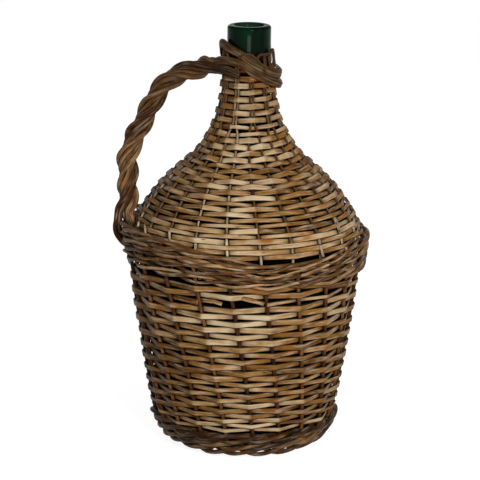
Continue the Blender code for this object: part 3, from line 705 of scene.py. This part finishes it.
class Weaver:
    """How a strip passes the stakes of one wall."""

    def __init__(self, wall, angle, reach, rise, fold, seed):
        self.wall = wall
        self.angle = angle
        self.reach = reach
        self.rise = rise
        self.fold = fold
        self.random = Random(seed)

    def crossing(self, index, length, side):
        """The strip's place where it passes a stake: outside it a little higher, inside it lower."""
        sway = self.random.gauss(0, STRIP_SWAY)
        length = length + side * self.rise + self.random.gauss(0, STRIP_DRIFT)
        return on_wall(self.wall, length, side * self.reach + sway, self.angle(index, length))

    def strand(self, indices, length_of, side_of, tone, share_of):
        """Straight runs between the stakes, folded at each; share_of is the strip's width there."""
        crossings = [self.crossing(index, length_of(index), side_of(index)) for index in indices]
        strand = Strand(tone, self.random.uniform(0, 9))
        width = min(self.random.gauss(0.98, 0.13), 1.15)
        last = len(crossings) - 1
        mark = self.random.random()
        for number, (point, tilt) in enumerate(crossings):
            before = crossings[max(number - 1, 0)][0]
            after = crossings[min(number + 1, last)][0]
            side = side_of(indices[number])
            roll = tilt + self.random.gauss(0, 0.05)
            size = width * share_of(indices[number]) * self.random.gauss(1.0, 0.035)
            broad = size * (1.02 + 0.06 * side)
            lead = point.lerp(before, self.fold)
            trail = point.lerp(after, self.fold)
            # Where the strip passes inside a stake it gets painted shade, and a little on the way towards it
            show = 1.0 if side > 0 else 0.0
            near = 1.0 if side > 0 else 0.45
            old_mark, mark = mark, self.face_mark(point, after)
            if number:
                strand.add(point.lerp(before, RUN_SHARE), roll, size, old_mark, 0.9)
                strand.add(point.lerp(before, 2 * self.fold), roll, broad, old_mark, near)
                strand.add(lead, roll, broad, old_mark, show)
            strand.add((lead + 2 * point + trail) / 4, roll, broad, (old_mark + mark) / 2, show)
            if number < last:
                strand.add(trail, roll, broad, mark, show)
                strand.add(point.lerp(after, 2 * self.fold), roll, broad, mark, near)
                strand.add(point.lerp(after, RUN_SHARE), roll, size, mark, 0.9)
        return strand

    def face_mark(self, start, end):
        """A tone for the straight run between two stakes: a painted highlight on the side facing the camera,
        and painted shade towards the handle.
        """
        middle = (start + end) / 2
        middle.z = 0.0
        middle.normalize()
        # Painted highlight: runs on the side facing the camera are made paler
        highlit = (middle.dot(HIGHLIGHT_SIDE) - HIGHLIGHT_REACH) / (1 - HIGHLIGHT_REACH)
        strength = RIM_HIGHLIGHT_STRENGTH if RIM_MIDDLE < start.z < RIM_HIGHLIGHT_TOP else HIGHLIGHT_STRENGTH
        # Painted shade: towards the handle the tones vary less and stay darker
        varied = TONE_RANGE - HANDLE_SIDE_SHADE * max(-middle.x, 0.0)
        return varied * self.random.random() + strength * max(highlit, 0.0)


def cut_lengths(total, shortest, longest, random):
    """The first and last index of each strip in a winding; the next starts where one ends."""
    first = 0
    while first < total - 1:
        last = min(first + 2 * random.randint(shortest // 2, longest // 2), total - 1)
        if total - 1 - last < shortest:
            last = total - 1
        yield first, last
        first = last


class Winding:
    """Rounds up a wall whose spacing grows steadily from the first to the last."""

    def __init__(self, low, high, pitches, stakes, even=1):
        first, last = pitches
        self.low, self.stakes = low, stakes
        self.rounds = even * round((high - low) / ((first + last) / 2) / even)
        self.mean = (high - low) / self.rounds
        self.first = self.mean * 2 * first / (first + last)
        self.last = 2 * self.mean - self.first

    def length_of(self, index):
        turns = index / self.stakes
        return self.low + self.first * turns + (self.last - self.first) * turns * turns / (2 * self.rounds)

    def share_of(self, index):
        """The spacing at a crossing as a share of the mean one."""
        return (self.first + (self.last - self.first) * index / self.stakes / self.rounds) / self.mean


def make_lower_weave():
    """One winding cut into strips, one of them broken, and its two loose ends."""
    reach = LOWER_STAKE_RADIUS + LOWER_STRIP_THICKNESS / 2
    weaver = Weaver(LOWER, lambda index, length: lower_angle(index, LOWER.at(length)[0].y), reach,
                    LOWER_RISE, 0.05, 11)
    winding = Winding(LOWER.length_at(WEAVE_FOOT), LOWER.length_at(WEAVE_RIM), LOWER_PITCHES, LOWER_STAKES)
    length_of = winding.length_of
    total = winding.rounds * LOWER_STAKES
    strands = []

    def side_of(index):
        return 1 if index % 2 else -1

    def from_break(index):
        place = on_wall(LOWER, length_of(index), 0.0, weaver.angle(index, length_of(index)))[0]
        return (place - Vector(BREAK_PLACE) * MM).length

    gap = min(range(total), key=from_break)
    for first, last in cut_lengths(total, 12, 34, weaver.random):
        if first < gap < last:
            spans = [(first, gap - 1), (gap + 1, last)]
        else:
            spans = [(first, last)]
        for start, end in spans:
            indices = list(range(start, end + 1))
            strands.append(weaver.strand(indices, length_of, side_of, weaver.random.random(),
                                         winding.share_of))
    for places in BROKEN_ENDS:
        splinter = Strand(0.35)
        for place in places:
            splinter.add(Vector(place) * MM, tilt=0.1, scale=0.8, mark=0.45, show=0.9)
        strands.append(splinter)
    return sweep("lower_weave", strands, flat_section(LOWER_STRIP_WIDTH, LOWER_STRIP_THICKNESS), SPLIT)


def make_lower_stakes():
    """Round rods with uneven bark, from under the foot to the top of the rim."""
    random = Random(12)
    strands = []
    end = LOWER.length_at(LOWER_STAKE_TOP)
    for number in range(LOWER_STAKES):
        strand = Strand(random.random(), random.uniform(0, 9))
        for step in range(LOWER_STAKE_STEPS + 1):
            length = LOWER_STAKE_START + (end - LOWER_STAKE_START) * step / LOWER_STAKE_STEPS
            place = LOWER.at(length)[0]
            angle = lower_angle(number, place.y)
            point = lower_turned(place, angle)
            lifted = share_between(place.y, FLARE_START, FLARE_START + LIFT_SPAN)
            point.z += lifted * rim_lift(RIM_ROUNDS - 1, angle)
            strand.add(point, scale=1.0 + random.gauss(0, 0.03), mark=random.random())
        strands.append(strand)
    return sweep("lower_stakes", strands, round_section(LOWER_STAKE_RADIUS), STAKE, "MINIMUM")


def make_cover_weave():
    """On the shoulder two windings chase each other; on the neck one passes pairs of stakes."""
    reach = COVER_STAKE_RADIUS + COVER_STRIP_THICKNESS / 2
    weaver = Weaver(COVER, cover_angle, reach, COVER_RISE, 0.06, 21)
    low, throat = COVER.length_at(COVER_START) + COVER_PITCHES[0] / 2, COVER.length_at(THROAT_HEIGHT)
    winding = Winding(low, throat, COVER_PITCHES, COVER_STAKES, 2)
    strands = []
    for number in range(2):
        def row_index(index, number=number):
            """The two windings together count as one, so each climbs two rows in a turn."""
            return 2 * index + number * COVER_STAKES

        def side_of(index, number=number):
            return 1 if (index + number) % 2 else -1

        for first, last in cut_lengths(winding.rounds // 2 * COVER_STAKES + 1, 10, 30, weaver.random):
            strands.append(weaver.strand(
                list(range(first, last + 1)), lambda index: winding.length_of(row_index(index)), side_of,
                weaver.random.random(), lambda index: winding.share_of(row_index(index))))
    neck = Winding(throat, COVER.length_at(COVER_TOP), (NECK_PITCH, NECK_PITCH), COVER_STAKES)
    for first, last in cut_lengths(neck.rounds * COVER_STAKES, 16, 40, weaver.random):
        strands.append(weaver.strand(
            list(range(first, last + 1)), neck.length_of, lambda index: 1 if index // 2 % 2 else -1,
            weaver.random.random(), lambda index: NECK_STRIP_SHARE))
    return sweep("cover_weave", strands, flat_section(COVER_STRIP_WIDTH, COVER_STRIP_THICKNESS), SPLIT)


def make_cover_stakes():
    """Thin pale skeins, each pair folded over at the top of the neck."""
    random = Random(22)
    start, end = COVER.length_at(COVER_STAKE_FOOT), COVER.length_at(COVER_TOP)
    steps = COVER_STAKE_STEPS
    strands = []
    for pair in range(COVER_PAIRS):
        strand = Strand(random.random(), random.uniform(0, 9))
        for number, order in ((0, range(steps + 1)), (1, range(steps, -1, -1))):
            for step in order:
                length = start + (end - start) * step / steps
                tucked = 1 - share_between(COVER.at(length)[0].y, TUCK_END, TUCK_START)
                point = on_wall(COVER, length, -TUCK * tucked, cover_angle(2 * pair + number, length))[0]
                mark = random.random() * 0.5 + (0.9 if tucked else 0.0)
                size = TUCKED_SIZE if tucked else 1.0
                strand.add(point, scale=size + random.gauss(0, 0.05), mark=mark)
            if number == 0:
                for rise, share in PAIR_FOLD:
                    angle = cover_angle(2 * pair, end) * (1 - share) + cover_angle(2 * pair + 1, end) * share
                    point = turned(COVER.at(end)[0] + Vector((0, rise * MM)), angle)
                    strand.add(point, mark=random.random())
        strands.append(strand)
    for places in CURLS:
        strand = Strand(0.1, random.uniform(0, 9))
        for point in smooth_line([Vector(place) * MM for place in places], 4):
            # A little painted shade on the curls
            strand.add(point, scale=CURL_SIZE, mark=0.15, show=0.75)
        strands.append(strand)
    for *ends, size in PEGS:
        top, foot = (on_wall(COVER, COVER.length_at(height * MM), PEG_STAND, radians(angle))[0]
                     for angle, height in ends)
        strand = Strand(0.6, random.uniform(0, 9))
        for share in (0.0, 0.33, 0.67, 1.0):
            strand.add(top.lerp(foot, share), scale=size, mark=0.9)
        strands.append(strand)
    return sweep("cover_stakes", strands, round_section(COVER_STAKE_RADIUS), SKEIN, "MINIMUM")


# Waling

def foot_lift(_row, angle):
    """The foot's rods lie a little higher at the two sides, by the same in each row."""
    return FOOT_LIFT * max(abs(cos(angle)) - 0.4, 0.0)


def rim_lift(row, angle):
    """The rim's rods climb to the handle's root on one side, and spread a little on the other."""
    to_handle = share_between(-cos(angle), 0.0, 0.88)
    away = share_between(cos(angle), 0.35, 0.90)
    return RIM_LIFTS[row] * to_handle * (2 - to_handle) + RIM_SPREADS[row] * away * away


def make_wale(name, middle, pitch, rounds, wave, radius, finish, seed, lift):
    """Rounds of three rods: each passes outside two stakes and inside the next."""
    random = Random(seed)
    reach = LOWER_STAKE_RADIUS + radius
    first = LOWER.length_at(middle)
    strands = []
    for row in range(rounds):
        for number in range(WALE_STEP):
            level = first + pitch * row + random.gauss(0, WALE_DRIFT)
            points, shows = [], []
            start = random.randrange(LOWER_STAKES)
            for index in range(start, start + LOWER_STAKES + 1):
                turn = 2 * pi * (index + number) / WALE_STEP
                length = level - wave * sin(turn) + random.gauss(0, WALE_DRIFT)
                side = reach * (1 - 4 * cos(turn)) / 3 + random.gauss(0, WALE_SWAY)
                place, normal = LOWER.at(length)
                angle = lower_angle(index, place.y)
                point = lower_turned(place + normal * side, angle)
                point.z += lift(row, angle)
                points.append(point)
                # Painted shade on a rod where it passes inside a stake
                shows.append(0.35 + 0.35 * (1 - cos(turn)))
            strand = Strand(random.random(), random.uniform(0, 9))
            line = smooth_line(points, WALE_CURVE_STEPS)
            for step, point in enumerate(line):
                show = float(np.interp(step / WALE_CURVE_STEPS, range(len(shows)), shows))
                taper = 1.12 - 0.3 * step / len(line)
                taper *= 1 + max(lift(row, atan2(point.y, point.x)), 0.0) / LIFT_GROWTH
                size = taper + random.gauss(0, 0.015)
                strand.add(point, scale=size, mark=random.uniform(0.25, 0.75), show=show)
            strands.append(strand)
    return sweep(name, strands, round_section(radius, 10), finish, "MINIMUM")


# Handle

def strand_route(number):
    """The middle of one strand from its root to its end, and the middle that it turns round."""
    line = Wall(smooth_line([Vector(place) * MM for place in HANDLE_ROUTE], 6))
    places, hubs = [], []
    for distance, side, height in HANDLE_ROOTS[number]:
        places.append(Vector((-distance, side, height)) * MM)
        hubs.append(Vector((-HANDLE_ROUTE[0][0], 0, height)) * MM)
    for step in range(HANDLE_STEPS + 1):
        length = line.lengths[-1] * step / HANDLE_STEPS
        middle, normal = line.at(length)
        turn = 2 * pi * (length / HANDLE_PITCH + number / HANDLE_STRANDS) + HANDLE_PHASE
        place = middle + normal * cos(turn) * STRAND_SPREAD
        places.append(Vector((-place.x, -sin(turn) * STRAND_SPREAD, place.y)))
        hubs.append(Vector((-middle.x, 0, middle.y)))
    for angle, distance, height in HANDLE_ENDS[number]:
        place = turned(Vector((distance, height)) * MM, radians(angle))
        places.append(place)
        hubs.append(Vector((0, 0, place.z)))
    return smooth_line(places, 4), smooth_line(hubs, 4)


def side_directions(places, hubs):
    """For each place of a strand, the direction away from its hub and the one across the strand."""
    aways = [(place - hub).normalized() for place, hub in zip(places, hubs)]
    pairs = []
    for index in range(len(places)):
        low, high = max(index - 1, 0), min(index + 1, len(places) - 1)
        along = (places[high] - places[low]).normalized()
        near = aways[max(index - 4, 0):index + 5]
        away = sum(near, Vector())
        away = (away - along * away.dot(along)).normalized()
        pairs.append((away, along.cross(away)))
    return pairs


def make_handle():
    """Three strands of three rods, twisted together; one is wound one and a half times round the neck."""
    random = Random(51)
    strands = []
    for number in range(HANDLE_STRANDS):
        places, hubs = strand_route(number)
        pairs = side_directions(places, hubs)
        for bundled, flat in HANDLE_RODS:
            strand = Strand(random.uniform(0.25, 0.75), random.uniform(0, 9))
            phase, size = random.uniform(0, 2 * pi), random.gauss(1.0, 0.06)
            for index, (place, (away, beside)) in enumerate(zip(places, pairs)):
                on_neck = 1 - share_between(hypot(place.x, place.y), FLATTEN_END, FLATTEN_START)
                tight = 1.0 - NECK_SQUEEZE * on_neck
                through, across = Vector(bundled).lerp(Vector(flat), on_neck)
                sway = HANDLE_SWAY * sin(phase + index * 0.35)
                point = place + away * (through * HANDLE_ROD_SPACING * tight + sway)
                point += beside * across * HANDLE_ROD_SPACING * tight
                strand.add(point, scale=size * tight * random.gauss(1.0, 0.012))
            strands.append(strand)
    return sweep("handle", strands, round_section(HANDLE_ROD_RADIUS, 10), HANDLE, "MINIMUM")


def make_neck_ring():
    """The rod that ties the folded stakes, under the handle's wraps."""
    place = COVER.at(COVER.length_at(COVER_TOP))[0]
    middle = place + Vector((COVER_STAKE_RADIUS + RING_STAND, RING_RISE))
    strand = Strand(0.4)
    for step in range(RING_STEPS + 2):
        strand.add(turned(middle, 2 * pi * step / RING_STEPS))
    return sweep("neck_ring", [strand], round_section(RING_ROD_RADIUS), STAKE, "MINIMUM")


# Base

def make_base_sticks():
    """Two layers of three slit sticks that cross in the middle and fan into spokes."""
    random = Random(61)
    strands = []
    for layer in range(2):
        for number in (-1, 0, 1):
            fan = 2 * pi * number / BASE_SPOKES
            height = STICK_THICKNESS * (0.5 + 1.08 * layer)
            half = [Vector((SLATH_HALF, number * STICK_WIDTH * 1.05, height))]
            for radius in (SLATH_RADIUS, BASE_EDGE):
                half.append(turned(Vector((radius, BASE_MIDDLE)), fan))
            points = [Vector((-x, y, z)) for x, y, z in reversed(half)] + half
            strand = Strand(random.random(), random.uniform(0, 9))
            for start, end in zip(points, points[1:]):
                for step in range(4):
                    x, y, z = start.lerp(end, step / 4)
                    point = Vector((-y, x, z)) if layer else Vector((x, y, z))
                    strand.add(point, tilt=pi / 2, scale=random.gauss(1.0, 0.015), mark=random.random())
            x, y, z = points[-1]
            strand.add(Vector((-y, x, z)) if layer else points[-1], tilt=pi / 2)
            strands.append(strand)
    return sweep("base_sticks", strands, flat_section(STICK_WIDTH, STICK_THICKNESS), STAKE)


def make_base_weave():
    """One winding over a spoke and under the next; once a round it passes two on the same side."""
    wall = Wall([Vector((SLATH_RADIUS, BASE_MIDDLE)), Vector((BASE_EDGE, BASE_MIDDLE))])
    reach = (STICK_THICKNESS + LOWER_STRIP_THICKNESS) / 2
    pitch = (BASE_EDGE - SLATH_RADIUS) / (BASE_ROUNDS + 1)
    weaver = Weaver(wall, lambda index, length: 2 * pi * index / BASE_SPOKES, reach, 0.0, 0.06, 62)
    strands = []
    for first, last in cut_lengths(BASE_ROUNDS * BASE_SPOKES, 12, 30, weaver.random):
        strands.append(weaver.strand(
            list(range(first, last + 1)), lambda index: pitch / 2 + pitch * index / BASE_SPOKES,
            lambda index: 1 if (index + index // BASE_SPOKES) % 2 else -1, weaver.random.random(),
            lambda index: 1.0))
    return sweep("base_weave", strands, flat_section(pitch * 0.95, LOWER_STRIP_THICKNESS), SPLIT)


# Scene

def ride(piece, nodes):
    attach(piece, "root")
    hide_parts(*nodes)


def numbered(name, count, digits=1):
    return [f"{name}_{number:0{digits}d}" for number in range(1, count + 1)]


def make_camera():
    data = bpy.data.cameras.new("camera")
    data.lens = CAMERA_LENS
    data.sensor_width = SENSOR_WIDTH
    data.clip_end = 20
    camera = bpy.data.objects.new("camera", data)
    bpy.context.scene.collection.objects.link(camera)
    level = Matrix.Rotation(pi / 2 - CAMERA_PITCH, 4, "X")
    camera.matrix_world = Matrix.Translation(CAMERA_PLACE) @ level @ Matrix.Rotation(CAMERA_ROLL, 4, "Z")
    bpy.context.scene.camera = camera


def make_lamp(name, place, aim, width, height, power):
    data = bpy.data.lights.new(name, "AREA")
    data.shape = "RECTANGLE"
    data.size = width
    data.size_y = height
    data.energy = power
    lamp = bpy.data.objects.new(name, data)
    bpy.context.scene.collection.objects.link(lamp)
    lamp.location = place
    lamp.rotation_euler = (Vector(aim) - Vector(place)).to_track_quat("-Z", "Y").to_euler()


def seen_strength(tree, otherwise, to_eye):
    """One strength for what the camera sees, also in gloss and through glass, another for light."""
    rays = tree.nodes.new("ShaderNodeLightPath").outputs
    seen = rays["Is Camera Ray"]
    for kind in ("Is Glossy Ray", "Is Transmission Ray"):
        either = tree.nodes.new("ShaderNodeMath")
        either.operation = "MAXIMUM"
        tree.links.new(seen, either.inputs[0])
        tree.links.new(rays[kind], either.inputs[1])
        seen = either.outputs[0]
    strength = tree.nodes.new("ShaderNodeMapRange")
    tree.links.new(seen, strength.inputs["Value"])
    strength.inputs["To Min"].default_value = otherwise
    strength.inputs["To Max"].default_value = to_eye
    return strength.outputs["Result"]


def make_studio():
    """A pale floor, a white backdrop for the camera, and soft lamps in front, at the right and behind."""
    shape = bmesh.new()
    bmesh.ops.create_grid(shape, x_segments=1, y_segments=1, size=6)
    mesh = bpy.data.meshes.new("floor")
    shape.to_mesh(mesh)
    shape.free()
    nodes = Nodes("floor")
    nodes.shader.inputs["Base Color"].default_value = (0.32, 0.32, 0.32, 1.0)
    nodes.shader.inputs["Roughness"].default_value = 0.9
    nodes.shader.inputs["Emission Color"].default_value = (1, 1, 1, 1)
    nodes.link(seen_strength(nodes.tree, 0.0, FLOOR_GLOW), nodes.shader.inputs["Emission Strength"])
    mesh.materials.append(nodes.material)
    floor = bpy.data.objects.new("floor", mesh)
    bpy.context.scene.collection.objects.link(floor)

    world = bpy.data.worlds.new("studio")
    bpy.context.scene.world = world
    world.use_nodes = True
    tree = world.node_tree
    background = tree.nodes["Background"]
    background.inputs["Color"].default_value = (1, 1, 1, 1)
    tree.links.new(seen_strength(tree, WORLD_LIGHT, 1.0), background.inputs["Strength"])

    make_lamp("key", (0.38, -1.35, 0.77), (0, 0, 0.2), 0.25, 0.25, 21.5)
    make_lamp("streak", (0.00, -1.60, 0.30), (0, 0, 0.4), 0.50, 0.36, 5.6)
    make_lamp("fill_back", (-0.5, 1.8, 0.9), (0, 0, 0.2), 0.8, 0.8, 4)
    make_lamp("fill_right", (1.7, -0.8, 0.9), (0, 0, 0.2), 0.8, 0.8, 1.5)
    bpy.context.scene.view_settings.view_transform = "Standard"


make_camera()
make_studio()

ride(make_bottle(), ["glass_bottle"])
ride(make_lower_stakes(), numbered("lower_stake", LOWER_STAKES, 2))
ride(make_lower_weave(), ["lower_weaver"])
ride(make_wale("foot_wale", FOOT_MIDDLE, FOOT_PITCH, FOOT_ROUNDS, FOOT_WAVE, FOOT_ROD_RADIUS, FOOT, 31,
               foot_lift),
     numbered("foot_rod", FOOT_ROD_NODES))
ride(make_wale("rim_wale", RIM_MIDDLE, RIM_PITCH, RIM_ROUNDS, RIM_WAVE, RIM_ROD_RADIUS, RIM, 41, rim_lift),
     numbered("rim_rod", RIM_ROD_NODES))
ride(make_cover_stakes(), numbered("cover_stake_pair", COVER_PAIRS, 2))
ride(make_cover_weave(), ["shoulder_weaver_a", "shoulder_weaver_b", "neck_weaver"])
ride(make_neck_ring(), ["neck_ring"])
ride(make_handle(), numbered("handle_strand", HANDLE_STRANDS))
ride(make_base_sticks(), numbered("base_stick", BASE_STICK_NODES))
ride(make_base_weave(), ["base_weaver"])
